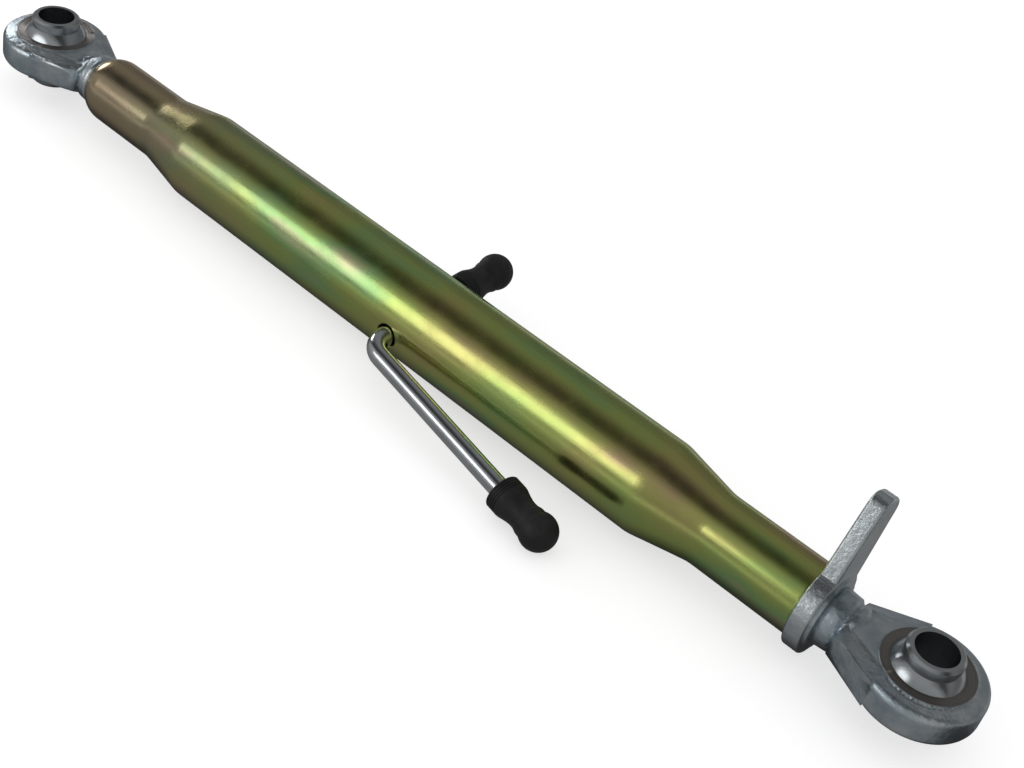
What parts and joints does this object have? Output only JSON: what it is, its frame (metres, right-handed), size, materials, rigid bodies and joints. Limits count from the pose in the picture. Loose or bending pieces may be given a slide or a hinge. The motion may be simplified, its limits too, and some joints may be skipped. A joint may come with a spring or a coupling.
{
  "type": "tractor top link",
  "caption": "Turnbuckle top link: swaged barrel with opposed threaded rod ends, captive pin balls, a lever lock nut and a loose bent turning bar with grips.",
  "frame": {"origin": "centre of the left ball, halfway along its pin bore, with the link at its shortest", "axes": "+X along the link towards the right ball; +Z along the pin bores, upwards as the link lies on its barrel; +Y to the side of the short end of the turning bar"},
  "size_m": [0.839, 0.1622, 0.1059],
  "materials": {
    "yellow_zinc": "yellow passivated zinc plate",
    "forged_zinc": "clear zinc plate over a forged surface",
    "ball_steel": "turned steel, clear zinc plate",
    "bar_zinc": "bright zinc plated round bar",
    "grip_rubber": "matt black moulding"
  },
  "bodies": {
    "left_rod_end": {"left_rod_end": "forged_zinc"},
    "lock_nut": {"lock_nut": "forged_zinc"},
    "barrel": {"barrel": "yellow_zinc"},
    "right_rod_end": {"right_rod_end": "forged_zinc"},
    "left_ball": {"left_ball": "ball_steel"},
    "right_ball": {"right_ball": "ball_steel"},
    "handle": {"turning_bar": "bar_zinc", "long_arm_grip": "grip_rubber", "short_end_grip": "grip_rubber"}
  },
  "joints": [
    {"name": "left_thread_travel", "type": "slide", "parent": "left_rod_end", "child": "lock_nut", "axis": [1, 0, 0], "range_m": [0, 0.129]},
    {"name": "barrel_turn", "type": "hinge", "parent": "lock_nut", "child": "barrel", "pos_m": [0.376, 0, 0], "axis": [1, 0, 0], "range_deg": [0, 15480]},
    {"name": "right_thread_travel", "type": "slide", "parent": "lock_nut", "child": "right_rod_end", "axis": [1, 0, 0], "range_m": [0, 0.129]},
    {"name": "left_ball_tilt", "type": "hinge", "parent": "left_rod_end", "child": "left_ball", "pos_m": [0, 0, 0], "axis": [1, 0, 0], "range_deg": [-15, 15]},
    {"name": "right_ball_tilt", "type": "hinge", "parent": "right_rod_end", "child": "right_ball", "pos_m": [0.765, 0, 0], "axis": [1, 0, 0], "range_deg": [-15, 15]},
    {"name": "turning_bar_swing", "type": "hinge", "parent": "barrel", "child": "handle", "pos_m": [0.3836, 0, 0], "axis": [0, 0.9945, 0.1045], "continuous": true}
  ],
  "couplings": [
    {"joint": "left_thread_travel", "follows": "barrel_turn", "m_per_rad": 0.00047746},
    {"joint": "right_thread_travel", "follows": "barrel_turn", "m_per_rad": 0.00047746}
  ]
}
